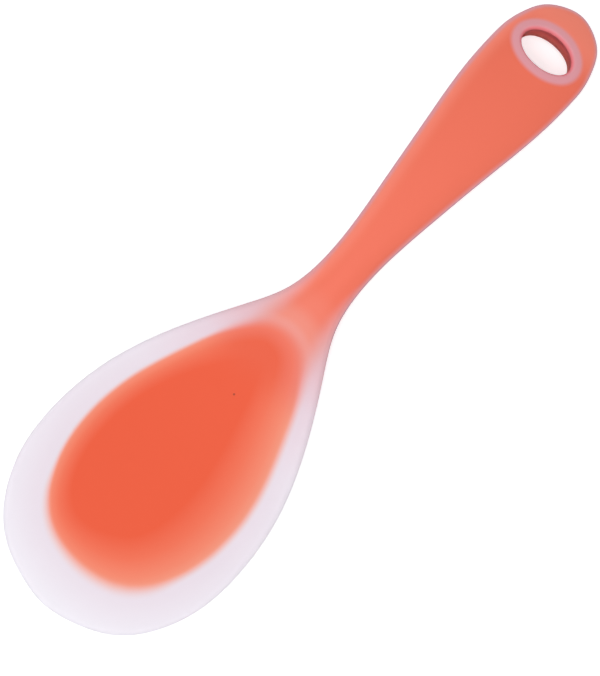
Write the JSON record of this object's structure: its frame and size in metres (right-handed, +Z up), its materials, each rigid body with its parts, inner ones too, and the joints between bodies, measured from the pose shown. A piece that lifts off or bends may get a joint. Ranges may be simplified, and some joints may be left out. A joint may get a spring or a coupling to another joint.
{
  "type": "rice paddle",
  "caption": "Spoon-shaped rice paddle: a dished egg-shaped blade, slim neck and arched handle with an oval hang hole, its rigid core wrapped in translucent silicone.",
  "frame": {"origin": "under the middle of the paddle's length and width, on the surface that it lies on", "axes": "+Y from the blade's tip to the handle's end, +Z up out of the dished face of the blade, +X across the blade"},
  "size_m": [0.0694, 0.225, 0.0175],
  "materials": {
    "core_plastic": "matte",
    "clear_silicone": "satin"
  },
  "bodies": {
    "root": {"core": "core_plastic", "silicone_skin": "clear_silicone"}
  },
  "joints": []
}
